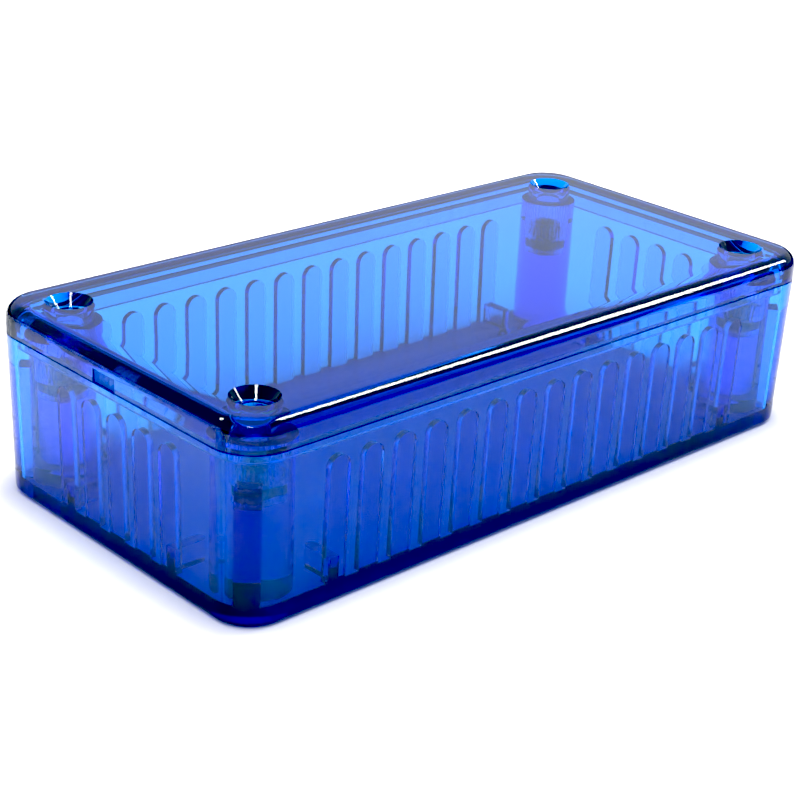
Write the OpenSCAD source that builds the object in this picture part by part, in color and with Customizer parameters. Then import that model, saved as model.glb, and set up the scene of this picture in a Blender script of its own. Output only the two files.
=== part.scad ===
// Small two-part moulded enclosure: a drafted lower shell with wall ribs, corner bosses and
// floor fins, a lift-off lid with countersunk screw holes, and four pressed-in threaded inserts.
// Millimetres, +Z up. Origin: centre of the footprint, on the underside of the shell.
// X runs along the length and Y along the depth; -Y is the front.

/* [Enclosure] */
// Outside length at the parting plane
length = 100; // [90:0.5:130]
// Outside depth at the parting plane
depth = 50.2; // [48:0.2:70]
// Outside height with the lid seated
height = 25.2; // [24:0.2:40]
// Outside radius of the upright corners
corner_r = 5.6; // [5.2:0.1:6]
// Thickness of the shell's walls
wall_t = 2; // [1.8:0.1:2.2]
// Thickness of the floor
floor_t = 2.2; // [1.5:0.1:3]
// Draft of the shell's walls, in degrees
draft = 1.2; // [0.5:0.1:1.5]
// Rounding of the shell's bottom edge
foot_r = 1; // [0.5:0.1:1.5]

/* [Lid] */
// Height of the lid's rim above the parting plane
rim_h = 3.8; // [3.6:0.1:6]
// Thickness of the lid's top plate
plate_t = 2; // [1.8:0.1:2.4]
// Rounding of the lid's top edge
edge_r = 1.9; // [1:0.1:2]
// How far the locating lip reaches below the parting plane
lip_h = 1.7; // [1:0.1:2]
// Thickness of the locating lip
lip_t = 0.8; // [0.6:0.05:1]
// Gap between the lip and the shell's wall
lip_gap = 0.15; // [0.1:0.05:0.3]
// Width of the lip's notch at each corner
lip_notch = 2.6; // [2:0.1:3.5]
// Radius of the countersink at the lid's top face
sink_r = 2.95; // [2.6:0.05:3.2]
// Full angle of the countersink, in degrees
sink_angle = 82; // [80:1:92]
// Radius of the screw's clearance hole
screw_r = 1.7; // [1.6:0.05:1.75]
// Radius of the bosses under the lid's holes
lid_boss_r = 3.05; // [2.9:0.05:3.6]

/* [Bosses and inserts] */
// Distance from each boss axis to the two outer faces beside it
boss_inset = 7.1; // [7:0.1:7.5]
// Radius of the corner bosses
boss_r = 4; // [3.7:0.1:4.2]
// Thickness of the web that ties each boss to its corner
web_t = 2.6; // [2:0.1:3]
// Height of the top of that web
web_h = 17; // [12:0.5:19]
// Depth of the insert's top below the parting plane
insert_sunk = 3.5; // [2:0.1:5]
// Length of the insert's knurled head
head_l = 2.5; // [1.5:0.1:3]
// Length of the insert's plain lower part
pilot_l = 1.6; // [1:0.1:2.5]
// Radius of the insert's knurled head
insert_r = 2.15; // [2.1:0.05:2.3]
// Radius of the insert's plain lower part
pilot_r = 1.95; // [1.9:0.05:2]
// Radius inside the insert's thread
thread_r = 1.25; // [1:0.05:1.3]

/* [Wall ribs] */
// Distance between rib centres
rib_pitch = 5.05; // [4.8:0.05:5.2]
// Width of a rib
rib_w = 3; // [2.6:0.1:3.4]
// How far a rib stands in from the wall
rib_p = 0.8; // [0.5:0.1:1]
// Distance from the parting plane down to the top of a rib
rib_drop = 3.3; // [2.5:0.1:6]
// Ribs on each side of the middle one, long walls
long_ribs = 7; // [3:1:7]
// Ribs on each side of the middle one, short walls
short_ribs = 2; // [1:1:2]

/* [Floor fins] */
// Thickness of a fin
fin_t = 1.6; // [1.2:0.1:2]
// How far a fin reaches in from the wall
fin_l = 5.4; // [3:0.1:6]
// Height of a fin above the floor
fin_h = 2.8; // [1.5:0.1:5]

/* [Hidden] */
$fn = 64;
part_z = height - rim_h;
lean = tan(draft);
// Corner centres, shared by every rounded outline
cx = length / 2 - corner_r;
cy = depth / 2 - corner_r;
boss_x = length / 2 - boss_inset;
boss_y = depth / 2 - boss_inset;
insert_top = part_z - insert_sunk;
head_z = insert_top - head_l;
insert_z = head_z - pilot_l;
// Small bevel along the lid's lower edge; with the shell's sharp rim it makes the parting groove
bevel = 0.16;
// Clear depth left under an insert, and the bevel at its mouth
run_out = 0.6;
mouth = 0.3;
// The groove between an insert's head and its lower part
groove_h = 0.5;
groove_d = 0.4;
// The lip stops this far from a boss
boss_clear = 0.1;
// Shallow scar of the moulding gate on the lid's left end
gate_w = 4.2;
gate_h = 1.6;
gate_d = 0.2;
gate_y = 0.5;
gate_z = 1.0;
// Overshoot of cutting tools
over = 1;

shell_blue = [0.07, 0.33, 0.93];
lid_blue = [0.16, 0.46, 0.98];
dark_metal = [0.28, 0.30, 0.31];

// A block with rounded upright corners. The child is its edge outline, drawn as (distance out
// from the corner centres, height); it is turned round the corners and run along the sides.
module ring_block(z0, z1) {
  for (a = [0, 1, 2, 3]) {
    sx = (a == 0 || a == 3) ? 1 : -1;
    sy = (a < 2) ? 1 : -1;
    translate([sx * cx, sy * cy, 0]) rotate(90 * a) rotate_extrude(angle = 90) children();
  }
  for (s = [0, 180]) rotate(s) {
    translate([cx, cy, 0]) rotate([90, 0, 0]) linear_extrude(2 * cy) children();
    translate([-cx, cy, 0]) rotate([90, 0, 90]) linear_extrude(2 * cx) children();
  }
  translate([-cx, -cy, z0]) cube([2 * cx, 2 * cy, z1 - z0]);
}

// A plain edge outline at a depth in from the outer face.
module plain_outline(inset, z0, z1) {
  translate([0, z0]) square([corner_r - inset, z1 - z0]);
}

module at_bosses() {
  for (sx = [-1, 1], sy = [-1, 1]) translate([sx * boss_x, sy * boss_y, 0]) children();
}

// ---- lower shell ----

// Drafted wall with a rounded foot.
module shell_outline() {
  foot_u = corner_r - part_z * lean;
  difference() {
    polygon([[0, 0], [foot_u, 0], [corner_r, part_z], [0, part_z]]);
    difference() {
      translate([foot_u - foot_r, -over]) square([foot_r + over, foot_r + over]);
      translate([foot_u - foot_r + foot_r * lean, foot_r]) circle(foot_r);
    }
  }
}

// The hollow keeps the wall thickness constant all the way up.
module hollow_outline() {
  top_u = corner_r - wall_t;
  polygon([[0, floor_t], [top_u - (part_z - floor_t) * lean, floor_t],
           [top_u + over * lean, part_z + over], [0, part_z + over]]);
}

// An arch-topped rib, leaning with the drafted wall; the wall's inner face is at y = 0.
module wall_rib() {
  arch_z = part_z - rib_drop - rib_w / 2;
  root = wall_t / 2;
  translate([0, 0, part_z]) rotate([-draft, 0, 0]) translate([0, root, -part_z])
    rotate([90, 0, 0]) linear_extrude(rib_p + root) {
      translate([-rib_w / 2, floor_t / 2]) square([rib_w, arch_z - floor_t / 2]);
      translate([0, arch_z]) circle(d = rib_w);
    }
}

// A low fin standing on the floor, with a rounded free end.
module floor_fin() {
  reach = fin_l - fin_t / 2;
  translate([-fin_t / 2, -reach, floor_t / 2]) cube([fin_t, reach + wall_t / 2, floor_t / 2 + fin_h]);
  translate([0, -reach, floor_t / 2]) cylinder(h = floor_t / 2 + fin_h, d = fin_t);
}

// The ribs of one wall, with a fin on each of the outermost two.
module wall_row(count) {
  for (i = [-count:count]) translate([i * rib_pitch, 0, 0]) wall_rib();
  for (s = [-1, 1]) translate([s * count * rib_pitch, 0, 0]) floor_fin();
}

module corner_boss() {
  cylinder(h = part_z - floor_t / 2, r = boss_r);
}

// Web from a boss axis out towards its corner.
module corner_web() {
  reach = boss_inset * sqrt(2) - corner_r * (sqrt(2) - 1) - wall_t / 2;
  translate([0, -web_t / 2, 0]) cube([reach, web_t, web_h - floor_t / 2]);
}

module base_shell() {
  color(shell_blue) difference() {
    union() {
      difference() {
        ring_block(0, part_z) shell_outline();
        ring_block(floor_t, part_z + over) hollow_outline();
      }
      for (s = [0, 180]) rotate(s) {
        translate([0, depth / 2 - wall_t, 0]) wall_row(long_ribs);
        rotate(-90) translate([0, length / 2 - wall_t, 0]) wall_row(short_ribs);
      }
      translate([0, 0, floor_t / 2]) at_bosses() corner_boss();
      for (sx = [-1, 1], sy = [-1, 1]) translate([sx * boss_x, sy * boss_y, floor_t / 2])
        rotate(atan2(sy, sx)) corner_web();
    }
    at_bosses() {
      translate([0, 0, head_z]) cylinder(h = part_z - head_z + over, r = insert_r);
      translate([0, 0, insert_z - run_out]) cylinder(h = pilot_l + run_out + over, r = pilot_r);
    }
  }
}

// ---- lid ----

module lid_outline() {
  difference() {
    polygon([[0, part_z], [corner_r - bevel, part_z], [corner_r, part_z + bevel],
             [corner_r, height], [0, height]]);
    difference() {
      translate([corner_r - edge_r, height - edge_r]) square(edge_r + over);
      translate([corner_r - edge_r, height - edge_r]) circle(edge_r);
    }
  }
}

// What the lip is cut back by: the shell's bosses, and a notch across each corner's diagonal.
module lip_cuts() {
  at_bosses() translate([0, 0, part_z - lip_h - over])
    cylinder(h = lip_h + over, r = boss_r + boss_clear);
  for (sx = [-1, 1], sy = [-1, 1])
    translate([sx * boss_x, sy * boss_y, part_z - lip_h - over]) rotate(atan2(sy, sx))
      translate([0, -lip_notch / 2, 0]) cube([boss_inset * sqrt(2), lip_notch, lip_h + over]);
}

module lid() {
  lip_out = wall_t + lip_gap;
  sink_h = (sink_r - screw_r) / tan(sink_angle / 2);
  color(lid_blue) difference() {
    union() {
      difference() {
        union() {
          ring_block(part_z, height) lid_outline();
          difference() {
            ring_block(part_z - lip_h, part_z + over) plain_outline(lip_out, part_z - lip_h, part_z + over);
            lip_cuts();
          }
        }
        ring_block(part_z - lip_h - over, height - plate_t)
          plain_outline(lip_out + lip_t, part_z - lip_h - over, height - plate_t);
      }
      at_bosses() translate([0, 0, part_z]) cylinder(h = rim_h - plate_t / 2, r = lid_boss_r);
    }
    at_bosses() {
      translate([0, 0, part_z - over]) cylinder(h = rim_h + 2 * over, r = screw_r);
      translate([0, 0, height - sink_h])
        cylinder(h = sink_h + over, r1 = screw_r, r2 = sink_r + over * tan(sink_angle / 2));
    }
    translate([-length / 2 - over, gate_y - gate_w / 2, part_z + gate_z - gate_h / 2])
      cube([over + gate_d, gate_w, gate_h]);
  }
}

// ---- threaded inserts ----

module insert_at(sx, sy) {
  color(dark_metal) translate([sx * boss_x, sy * boss_y, 0]) difference() {
    union() {
      translate([0, 0, insert_z]) cylinder(h = pilot_l, r = pilot_r);
      translate([0, 0, head_z]) cylinder(h = groove_h, r = insert_r - groove_d);
      translate([0, 0, head_z + groove_h]) cylinder(h = head_l - groove_h, r = insert_r);
    }
    translate([0, 0, insert_z - over]) cylinder(h = pilot_l + head_l + 2 * over, r = thread_r);
    translate([0, 0, insert_top - mouth])
      cylinder(h = mouth + over, r1 = thread_r, r2 = thread_r + mouth + over);
  }
}

module insert_front_left() { insert_at(-1, -1); }
module insert_front_right() { insert_at(1, -1); }
module insert_back_left() { insert_at(-1, 1); }
module insert_back_right() { insert_at(1, 1); }

base_shell();
lid();
insert_front_left();
insert_front_right();
insert_back_left();
insert_back_right();
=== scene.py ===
import math

import bmesh
import bpy
from mathutils import Matrix, Vector


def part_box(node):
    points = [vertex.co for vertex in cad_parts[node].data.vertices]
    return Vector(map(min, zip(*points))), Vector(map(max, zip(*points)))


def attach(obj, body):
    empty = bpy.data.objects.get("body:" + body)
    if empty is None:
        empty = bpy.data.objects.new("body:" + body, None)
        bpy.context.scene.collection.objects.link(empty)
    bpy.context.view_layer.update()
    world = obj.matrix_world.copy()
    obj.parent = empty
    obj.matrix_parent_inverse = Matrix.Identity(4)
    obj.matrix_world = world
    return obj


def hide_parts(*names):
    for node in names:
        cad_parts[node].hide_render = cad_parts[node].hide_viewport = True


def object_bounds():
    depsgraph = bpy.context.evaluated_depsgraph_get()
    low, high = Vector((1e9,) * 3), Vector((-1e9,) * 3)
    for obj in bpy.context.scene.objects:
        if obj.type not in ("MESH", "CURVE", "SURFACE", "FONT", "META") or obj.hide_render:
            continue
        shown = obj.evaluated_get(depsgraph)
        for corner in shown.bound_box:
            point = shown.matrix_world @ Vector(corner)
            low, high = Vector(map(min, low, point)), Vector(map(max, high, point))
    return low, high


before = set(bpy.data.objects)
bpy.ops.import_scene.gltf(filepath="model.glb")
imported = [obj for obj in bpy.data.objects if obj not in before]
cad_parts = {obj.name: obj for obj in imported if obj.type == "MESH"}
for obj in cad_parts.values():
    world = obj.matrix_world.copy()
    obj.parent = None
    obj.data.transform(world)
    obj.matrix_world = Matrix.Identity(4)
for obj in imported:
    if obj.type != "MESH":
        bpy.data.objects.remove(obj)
cad_lo, cad_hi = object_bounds()
scene = bpy.context.scene
MM = 0.001

# ---------------------------------------------------------------- sizes shared with the CAD source
PART_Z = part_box("base_shell")[1].z
TOP_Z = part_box("lid")[1].z
HALF_X, HALF_Y = cad_hi.x, cad_hi.y
BOSS_X, BOSS_Y = HALF_X - 7.1 * MM, HALF_Y - 7.1 * MM
BORE_R = 2.15 * MM
CORNER_R = 5.6 * MM
INSERT_LO, INSERT_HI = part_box("insert_front_left")[0].z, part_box("insert_front_left")[1].z
WHITE = (1.0, 1.0, 1.0, 1.0)


def from_boss(c):
    """How far a point is from the axis of the nearest boss, seen from above."""
    return math.hypot(abs(c.x) - BOSS_X, abs(c.y) - BOSS_Y)


def from_corner(c):
    """How far a point is from the centre of its rounded corner, or 0 along the straight sides."""
    return math.hypot(max(0, abs(c.x) - HALF_X + CORNER_R), max(0, abs(c.y) - HALF_Y + CORNER_R))


# ---------------------------------------------------------------- node helpers
class Nodes:
    """Short calls for building a node tree."""

    def __init__(self, tree):
        self.tree = tree

    def add(self, kind, inputs=None, **props):
        node = self.tree.nodes.new(kind)
        for key, value in props.items():
            setattr(node, key, value)
        for key, value in (inputs or {}).items():
            self.put(node.inputs[key], value)
        return node

    def put(self, socket, value):
        if isinstance(value, bpy.types.NodeSocket):
            self.tree.links.new(value, socket)
        else:
            socket.default_value = value

    def math(self, op, a, b=None, clamp=False):
        node = self.tree.nodes.new("ShaderNodeMath")
        node.operation, node.use_clamp = op, clamp
        for i, value in enumerate((a, b)):
            if value is not None:
                self.put(node.inputs[i], value)
        return node.outputs[0]

    def vec(self, op, a, b=None):
        node = self.tree.nodes.new("ShaderNodeVectorMath")
        node.operation = op
        self.put(node.inputs[0], a)
        if b is not None:
            self.put(node.inputs[1], b)
        return node.outputs["Value" if op == "DOT_PRODUCT" else "Vector"]

    def ramp(self, value, lo, hi, out_lo=0.0, out_hi=1.0, smooth=False):
        node = self.tree.nodes.new("ShaderNodeMapRange")
        node.interpolation_type = "SMOOTHSTEP" if smooth else "LINEAR"
        keys = ("Value", "From Min", "From Max", "To Min", "To Max")
        for key, v in zip(keys, (value, lo, hi, out_lo, out_hi)):
            self.put(node.inputs[key], v)
        return node.outputs[0]

    def noise(self, vector, scale, detail=2.0, rough=0.5):
        node = self.add("ShaderNodeTexNoise", {
            "Vector": vector, "Scale": scale, "Detail": detail, "Roughness": rough})
        return node.outputs[0]


def new_material(name):
    m = bpy.data.materials.new(name)
    m.use_nodes = True
    m.node_tree.nodes.clear()
    return m, Nodes(m.node_tree)


# ---------------------------------------------------------------- plastic
ABSORB_COLOR = (0.1, 0.71, 0.97, 1.0)
ABSORB_DENSITY = 1000.0


def plastic(name):
    """Absorbing plastic. One material for a whole body, so that a ray leaves the volume it entered.
    Its finish follows the face attributes "haze", the roughness of a moulded face, and "marks", which
    is 1 in the boss bores and 2 on the gate scar."""
    m, n = new_material(name)
    obj = n.add("ShaderNodeTexCoord").outputs["Object"]
    haze = n.add("ShaderNodeAttribute", attribute_name="haze").outputs["Fac"]
    marks = n.add("ShaderNodeAttribute", attribute_name="marks").outputs["Fac"]
    scar = n.math("SUBTRACT", marks, 1.0, clamp=True)
    bore = n.math("SUBTRACT", n.math("MINIMUM", marks, 1.0), scar)
    mottle = n.ramp(n.noise(obj, 160.0, 4.0, 0.6), 0.35, 0.7, 0.75, 1.35)
    rough = n.math("MULTIPLY", haze, mottle)
    wave_height = n.ramp(haze, 0.0, 0.1, 0.002 * MM, 0.004 * MM)
    wave = n.math("MULTIPLY", n.noise(obj, 210.0, 1.0), wave_height)
    sep = n.add("ShaderNodeSeparateXYZ", {"Vector": obj})
    dx = n.math("SUBTRACT", n.math("ABSOLUTE", sep.outputs[0]), BOSS_X)
    dy = n.math("SUBTRACT", n.math("ABSOLUTE", sep.outputs[1]), BOSS_Y)
    ring = n.add("ShaderNodeCombineXYZ", {
        "X": n.math("ARCTAN2", dy, dx), "Z": n.math("MULTIPLY", sep.outputs[2], 60.0)})
    streaks = n.math("MULTIPLY", n.noise(ring.outputs[0], 7.0, 3.0), n.math("MULTIPLY", bore, 0.25 * MM))
    torn = n.math("MULTIPLY", n.noise(obj, 1500.0, 3.0, 0.6), n.math("MULTIPLY", scar, 0.5 * MM))
    height = n.math("ADD", n.math("ADD", wave, streaks), torn)
    bump = n.add("ShaderNodeBump", {"Height": height, "Strength": 1.0, "Distance": 1.0})
    bsdf = n.add("ShaderNodeBsdfPrincipled", {
        "Base Color": WHITE, "Roughness": rough, "IOR": 1.5, "Transmission Weight": 1.0,
        "Normal": bump.outputs[0]})
    vol = n.add("ShaderNodeVolumeAbsorption", {"Color": ABSORB_COLOR, "Density": ABSORB_DENSITY})
    out = n.add("ShaderNodeOutputMaterial")
    n.put(out.inputs["Surface"], bsdf.outputs[0])
    n.put(out.inputs["Volume"], vol.outputs[0])
    return m


# Roughness of each kind of moulded face; LID_UNDER is the underside of the lid's top plate
POLISHED, LID_UNDER, LID_INSIDE = 0.015, 0.03, 0.05
SHELL_INSIDE, RIB_FACE, SCAR = 0.06, 0.2, 0.35
shell_mat = plastic("shell_plastic_blue")
lid_mat = plastic("lid_plastic_blue")


def insert_metal():
    m, n = new_material("insert_plated")
    obj = n.add("ShaderNodeTexCoord").outputs["Object"]
    wear = n.ramp(n.noise(obj, 900.0, 4.0, 0.6), 0.3, 0.7)
    dark, worn = (0.10, 0.105, 0.10, 1.0), (0.26, 0.27, 0.26, 1.0)
    col = n.add("ShaderNodeMix", {0: wear, 6: dark, 7: worn}, data_type="RGBA")
    bump = n.add("ShaderNodeBump", {"Height": n.math("MULTIPLY", n.noise(obj, 2500.0, 3.0), 0.02 * MM),
                                    "Strength": 0.6, "Distance": 1.0})
    bsdf = n.add("ShaderNodeBsdfPrincipled", {
        "Base Color": col.outputs[2], "Metallic": 1.0, "Roughness": n.ramp(wear, 0.0, 1.0, 0.3, 0.5),
        "Normal": bump.outputs[0]})
    out = n.add("ShaderNodeOutputMaterial")
    n.put(out.inputs["Surface"], bsdf.outputs[0])
    return m


insert_mat = insert_metal()


# ---------------------------------------------------------------- plastic bodies, from the CAD meshes
# Edges sharper than this are softened, those along the parting line by a small share of the rest
SHARP, RIM_SHARE = math.radians(28), 0.2
EDGE_W, EDGE_STEPS = 0.12 * MM, 2
# Points closer than this are one, and faces closer in angle than this are merged
SAME_POINT, SAME_FACE = 0.002 * MM, math.radians(0.6)


def at_rim(e):
    """True for an edge of the outer skin that lies on the parting line."""
    c = (e.verts[0].co + e.verts[1].co) / 2
    out = max(abs(c.x) - HALF_X, abs(c.y) - HALF_Y) > -0.3 * MM
    return abs(c.z - PART_Z) < 0.3 * MM and (out or from_corner(c) > 5.2 * MM)


def has_holes(f):
    """True for a piece of a face that may have holes in it: level faces, and the lid's and shell's ends."""
    end = abs(f.normal.x) > 0.999 and abs(f.calc_center_median().x) > HALF_X - 0.05 * MM
    return end or abs(f.normal.z) > 0.999


def at_sink(e):
    """True for an edge at the rim or the throat of a countersink. These stay sharp, because a bevel
    would bend the shading of the cone, and with it the long narrow highlights."""
    return all(v.co.z > TOP_Z - 1.6 * MM and from_boss(v.co) < 3.0 * MM for v in e.verts)


def body_copy(node, name, body, edit, finish_of, material):
    """A smooth-shaded copy of a CAD body. edit() changes its mesh, finish_of() gives each face its marks."""
    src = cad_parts[node]
    me = src.data.copy()
    me.name = name
    if me.has_custom_normals:
        me.attributes.remove(me.attributes["custom_normal"])
    for key in ("sharp_edge", "sharp_face", "position_"):
        if key in me.attributes:
            me.attributes.remove(me.attributes[key])
    me.materials.clear()
    me.materials.append(material)
    bm = bmesh.new()
    bm.from_mesh(me)
    bmesh.ops.remove_doubles(bm, verts=bm.verts, dist=SAME_POINT)
    # A face with holes keeps its own triangles, because one polygon would be filled across its holes
    merge = [e for e in bm.edges if not any(has_holes(f) for f in e.link_faces)]
    bmesh.ops.dissolve_limit(bm, angle_limit=SAME_FACE, verts=bm.verts, edges=merge)
    edit(bm)
    weight = bm.edges.layers.float.new("bevel_weight_edge")
    for e in bm.edges:
        if len(e.link_faces) == 2 and e.calc_face_angle() > SHARP:
            if at_sink(e):
                e.smooth = False
            else:
                e[weight] = RIM_SHARE if at_rim(e) else 1.0
    haze, marks = bm.faces.layers.float.new("haze"), bm.faces.layers.float.new("marks")
    for f in bm.faces:
        f.smooth = True
        f[haze], f[marks] = finish_of(f)
    bm.to_mesh(me)
    bm.free()
    obj = bpy.data.objects.new(name, me)
    scene.collection.objects.link(obj)
    bev = obj.modifiers.new("edges", "BEVEL")
    bev.width, bev.segments, bev.limit_method = EDGE_W, EDGE_STEPS, "WEIGHT"
    bev.use_clamp_overlap = True
    wn = obj.modifiers.new("normals", "WEIGHTED_NORMAL")
    wn.mode, wn.weight, wn.keep_sharp = "FACE_AREA_WITH_ANGLE", 60, True
    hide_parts(node)
    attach(obj, body)


def gap(x, y):
    """How far the lid's parting face stands off the shell, along the rim."""
    t = x * 95.0 + y * 61.0
    return (0.05 + 0.05 * max(0.0, math.sin(t) * math.sin(0.37 * t + 1.3))) * MM


def lid_edit(bm):
    for v in bm.verts:
        if abs(v.co.z - PART_Z) < 0.01 * MM:
            v.co.z += gap(v.co.x, v.co.y)


def in_bore(c):
    """True for a point in one of the shell's boss bores."""
    return from_boss(c) < BORE_R + 0.1 * MM


def outer(f):
    """True for a face of the outer skin."""
    c, n = f.calc_center_median(), f.normal
    if n.z < -0.5 and c.z < 1.0 * MM:
        return True
    if n.z > 0.5 and c.z > TOP_Z - 0.5 * MM:
        return True
    wall = max(abs(c.x) - (HALF_X - 0.7 * MM), abs(c.y) - (HALF_Y - 0.7 * MM))
    return wall > 0 or from_corner(c) > 4.5 * MM or c.z < 0.9 * MM


def rib_face(f):
    """True for the face of a wall rib that looks into the box."""
    c, n = f.calc_center_median(), f.normal
    lo, hi = 2.6 * MM, 3.5 * MM
    end = lo < HALF_X - abs(c.x) < hi and n.x * c.x < 0 and abs(n.x) > 0.9
    side = lo < HALF_Y - abs(c.y) < hi and n.y * c.y < 0 and abs(n.y) > 0.9
    return end or side


def shell_finish(f):
    """The haze and marks of one of the shell's faces."""
    if in_bore(f.calc_center_median()):
        return SHELL_INSIDE, 1.0
    if outer(f):
        return POLISHED, 0.0
    return (RIB_FACE if rib_face(f) else SHELL_INSIDE), 0.0


def lid_finish(f):
    """The haze and marks of one of the lid's faces."""
    c = f.calc_center_median()
    if f.normal.x < -0.9 and 0.1 * MM < c.x + HALF_X < 0.3 * MM and c.z > PART_Z:
        return SCAR, 2.0
    if outer(f) or c.z > TOP_Z - 1.9 * MM:
        return POLISHED, 0.0
    return (LID_UNDER if c.z > TOP_Z - 2.1 * MM else LID_INSIDE), 0.0


body_copy("base_shell", "shell_tub", "shell", lambda bm: None, shell_finish, shell_mat)
body_copy("lid", "lid_cover", "lid", lid_edit, lid_finish, lid_mat)


# ---------------------------------------------------------------- threaded inserts
def ring_mesh(name, outline, columns, radius):
    """A closed ring. outline is a loop of (kind, radius, z); radius() gives each its radius at an angle."""
    verts, faces = [], []
    for kind, r, z in outline:
        for i in range(columns):
            a = 2 * math.pi * i / columns
            rr = radius(kind, r, z, a)
            verts.append((rr * math.cos(a), rr * math.sin(a), z))
    rows = len(outline)
    for j in range(rows):
        for i in range(columns):
            k, l = (j + 1) % rows, (i + 1) % columns
            faces.append((j * columns + i, j * columns + l, k * columns + l, k * columns + i))
    me = bpy.data.meshes.new(name)
    me.from_pydata(verts, [], faces)
    me.update()
    return me


TEETH, TOOTH_D, COLUMNS = 24, 0.16 * MM, 96
PITCH, THREAD_R, THREAD_D, THREAD_STEPS = 0.5 * MM, 1.25 * MM, 0.27 * MM, 58
HEAD_R, HEAD_L, NECK_R, PILOT_R = 2.15 * MM, 2.5 * MM, 1.75 * MM, 1.95 * MM


def insert_radius(kind, r, z, a):
    if kind == "knurl":
        return r - TOOTH_D * (0.5 - 0.5 * math.cos(TEETH * a)) ** 0.8
    if kind == "thread":
        turn = (z / PITCH - a / (2 * math.pi)) % 1.0
        fade = min(1.0, (INSERT_HI - 0.3 * MM - z) / (0.3 * MM), (z - INSERT_LO) / (0.4 * MM))
        return r + THREAD_D * max(0.0, fade) * (1 - abs(2 * turn - 1))
    return r


def insert_outline():
    lo, hi = INSERT_LO, INSERT_HI
    head = hi - HEAD_L
    o = [("plain", 1.55 * MM, lo), ("plain", 1.78 * MM, lo), ("plain", PILOT_R, lo + 0.3 * MM),
         ("plain", PILOT_R, head - 0.05 * MM), ("plain", 1.9 * MM, head), ("plain", NECK_R, head + 0.05 * MM),
         ("plain", NECK_R, head + 0.42 * MM), ("plain", 1.9 * MM, head + 0.48 * MM),
         ("knurl", 2.14 * MM, head + 0.65 * MM), ("knurl", HEAD_R, head + 0.75 * MM),
         ("knurl", HEAD_R, hi - 0.2 * MM), ("knurl", 2.1 * MM, hi - 0.1 * MM), ("plain", 1.88 * MM, hi),
         ("plain", 1.55 * MM, hi), ("plain", 1.28 * MM, hi - 0.28 * MM)]
    z1, z0 = hi - 0.32 * MM, lo + 0.3 * MM
    o += [("thread", THREAD_R, z1 + (z0 - z1) * i / THREAD_STEPS) for i in range(THREAD_STEPS + 1)]
    o.append(("plain", 1.28 * MM, lo + 0.27 * MM))
    return o


insert_mesh = ring_mesh("insert", insert_outline(), COLUMNS, insert_radius)
for p in insert_mesh.polygons:
    p.use_smooth = True
insert_mesh.materials.append(insert_mat)
# How far each insert is turned about its axis
TURNS = {(-1, -1): 0.3, (1, -1): 1.9, (-1, 1): 3.6, (1, 1): 5.1}
for sx, xn in ((-1, "left"), (1, "right")):
    for sy, yn in ((-1, "front"), (1, "back")):
        me = insert_mesh.copy()
        me.name = f"knurled_insert_{yn}_{xn}"
        o = bpy.data.objects.new(me.name, me)
        scene.collection.objects.link(o)
        place = Matrix.Translation((sx * BOSS_X, sy * BOSS_Y, 0))
        me.transform(place @ Matrix.Rotation(TURNS[(sx, sy)], 4, "Z"))
        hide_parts(f"insert_{yn}_{xn}")
        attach(o, "shell")


# ---------------------------------------------------------------- floor
FLOOR_R = 350 * MM
# Painted shadow on the floor: how far inside the shell's outline it starts, how far out it fades, and the
# share of each colour channel kept at its darkest
SHADOW_IN, SHADOW_W, SHADOW_KEEP = 1.4 * MM, 7 * MM, (0.55, 0.57, 0.68)
bpy.ops.mesh.primitive_circle_add(radius=FLOOR_R, vertices=128, fill_type="NGON",
                                  location=(0, 0, -0.02 * MM))
floor = bpy.context.object
floor.name = "floor"
fm, n = new_material("floor_pale_painted_shadow")
spot = n.add("ShaderNodeTexCoord").outputs["Object"]
shade = n.ramp(n.noise(spot, 400.0, 3.0), 0.3, 0.7, 0.86, 0.88)
# A faint blue shadow, painted into the floor's colour close to the shell
sep = n.add("ShaderNodeSeparateXYZ", {"Vector": spot})
off_x = n.math("SUBTRACT", n.math("ABSOLUTE", sep.outputs[0]), HALF_X - CORNER_R)
off_y = n.math("SUBTRACT", n.math("ABSOLUTE", sep.outputs[1]), HALF_Y - CORNER_R)
reach = n.math("SQRT", n.math("ADD", n.math("POWER", n.math("MAXIMUM", off_x, 0.0), 2.0),
                              n.math("POWER", n.math("MAXIMUM", off_y, 0.0), 2.0)))
away = n.math("SUBTRACT", reach, CORNER_R - SHADOW_IN)
outside = n.math("GREATER_THAN", away, 0.0)
near = n.math("MULTIPLY", outside, n.ramp(away, 0.0, SHADOW_W, 1.0, 0.0, smooth=True))
# The floor colour with the painted shadow: each channel darkened towards its share in SHADOW_KEEP next to the
# shell
painted_shadow_colour = [n.math("MULTIPLY", shade, n.ramp(near, 0.0, 1.0, 1.0, keep)) for keep in SHADOW_KEEP]
rgb = n.add("ShaderNodeCombineColor", {"Red": painted_shadow_colour[0], "Green": painted_shadow_colour[1], "Blue": painted_shadow_colour[2]})
bsdf = n.add("ShaderNodeBsdfDiffuse", {"Color": rgb.outputs[0], "Roughness": 0.5})
n.put(n.add("ShaderNodeOutputMaterial").inputs["Surface"], bsdf.outputs[0])
floor.data.materials.append(fm)

# ---------------------------------------------------------------- world: bright room with three softboxes
EXPOSURE, SOFTBOX = 0.85, 28.0
# What is left of the room and of the softboxes where they are seen through the plastic
ROOM_THROUGH, LIGHTS_THROUGH = 0.3, 0.12
world = bpy.data.worlds.new("studio")
scene.world = world
world.use_nodes = True
world.node_tree.nodes.clear()
n = Nodes(world.node_tree)
direction = n.add("ShaderNodeTexCoord").outputs["Generated"]


SOFT_EDGE = 0.15


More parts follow.
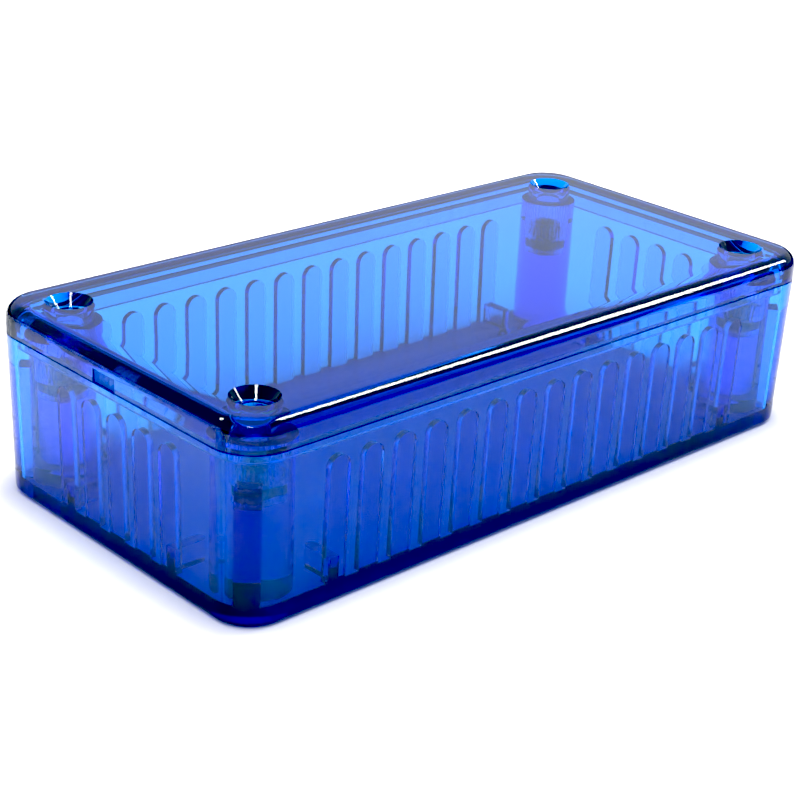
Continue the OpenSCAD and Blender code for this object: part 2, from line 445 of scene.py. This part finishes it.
def softbox(centre, up, half_w, half_h, power):
    """The light of a flat panel far away: its centre's direction, and half its sizes as tangents."""
    c = Vector(centre).normalized()
    side = Vector(up).cross(c).normalized()
    top = c.cross(side)
    front = n.vec("DOT_PRODUCT", direction, tuple(c))
    u = n.math("ABSOLUTE", n.math("DIVIDE", n.vec("DOT_PRODUCT", direction, tuple(side)), front))
    v = n.math("ABSOLUTE", n.math("DIVIDE", n.vec("DOT_PRODUCT", direction, tuple(top)), front))
    mu = n.ramp(u, half_w, half_w * (1 - SOFT_EDGE), smooth=True)
    mv = n.ramp(v, half_h, half_h * (1 - SOFT_EDGE), smooth=True)
    facing = n.math("GREATER_THAN", front, 0.0)
    return n.math("MULTIPLY", n.math("MULTIPLY", mu, mv), n.math("MULTIPLY", facing, power))


strip = softbox((0.690, -0.155, 0.707), (-0.19, 0.304, 0.257), 0.09, 0.32, SOFTBOX)
overhead = softbox((-0.375, -0.34, 0.862), (0.76, -0.62, 0.18), 0.055, 0.1, SOFTBOX)
rear = softbox((-0.28, 0.60, 0.75), (0, 0, 1), 0.08, 0.06, SOFTBOX)
up = n.add("ShaderNodeSeparateXYZ", {"Vector": direction}).outputs[2]
# The studio is dark near the horizon, and its pale backdrop is seen only by the camera
path = n.add("ShaderNodeLightPath")
seen = path.outputs["Is Camera Ray"]
off_floor = n.math("LESS_THAN", path.outputs["Diffuse Depth"], 0.5)
through = n.math("MULTIPLY", path.outputs["Is Transmission Ray"], off_floor)
skirting = n.math("MAXIMUM", seen, n.ramp(up, 0.13, 0.25, 0.1, 1.0, smooth=True))
# The ceiling is brighter for the floor than it looks in a reflection
ceiling = n.ramp(path.outputs["Is Glossy Ray"], 0.0, 1.0, 2.7, 1.1)
room = n.math("MULTIPLY", n.ramp(up, 0.35, 0.8, 1.35, ceiling, smooth=True), skirting)
room = n.math("MULTIPLY", room, n.ramp(through, 0.0, 1.0, 1.0, ROOM_THROUGH))
lights = n.math("ADD", strip, n.math("ADD", overhead, rear))
lights = n.math("MULTIPLY", lights, n.ramp(through, 0.0, 1.0, 1.0, LIGHTS_THROUGH))
strength = n.math("MULTIPLY", n.math("ADD", room, lights), EXPOSURE)
bg = n.add("ShaderNodeBackground", {"Color": WHITE, "Strength": strength})
n.put(n.add("ShaderNodeOutputWorld").inputs["Surface"], bg.outputs[0])
world.cycles.sampling_method = "MANUAL"
world.cycles.sample_map_resolution = 1024

# ---------------------------------------------------------------- camera
AZ, EL, ROLL = math.radians(-44.001), math.radians(23.426), math.radians(2.825)
TARGET, DIST, LENS = Vector((-9.981, -6.612, 12.0)) * MM, 234.403 * MM, 83.09
back = Vector((math.sin(AZ) * math.cos(EL), -math.cos(AZ) * math.cos(EL), math.sin(EL)))
right = (-back).cross(Vector((0, 0, 1))).normalized()
top = right.cross(-back)
cam_x = math.cos(ROLL) * right + math.sin(ROLL) * top
cam_y = -math.sin(ROLL) * right + math.cos(ROLL) * top
cam_data = bpy.data.cameras.new("camera")
cam = bpy.data.objects.new("camera", cam_data)
scene.collection.objects.link(cam)
rot = Matrix((cam_x, cam_y, back)).transposed().to_4x4()
cam.matrix_world = Matrix.Translation(TARGET + back * DIST) @ rot
cam_data.lens, cam_data.sensor_width, cam_data.sensor_fit = LENS, 36.0, "HORIZONTAL"
cam_data.clip_start, cam_data.clip_end = 0.01, 50.0
scene.camera = cam

scene.view_settings.view_transform = "Standard"
scene.view_settings.look = "None"
scene.view_settings.use_curve_mapping = True
scene.view_settings.curve_mapping.black_level = (0.089, 0.067, 0.03)
scene.view_settings.curve_mapping.update()
cy = scene.cycles
cy.max_bounces, cy.transmission_bounces, cy.glossy_bounces, cy.diffuse_bounces = 32, 32, 12, 4
cy.transparent_max_bounces, cy.volume_bounces = 16, 0
cy.caustics_reflective, cy.caustics_refractive = True, True
cy.blur_glossy = 0.3
cy.sample_clamp_indirect = 8.0
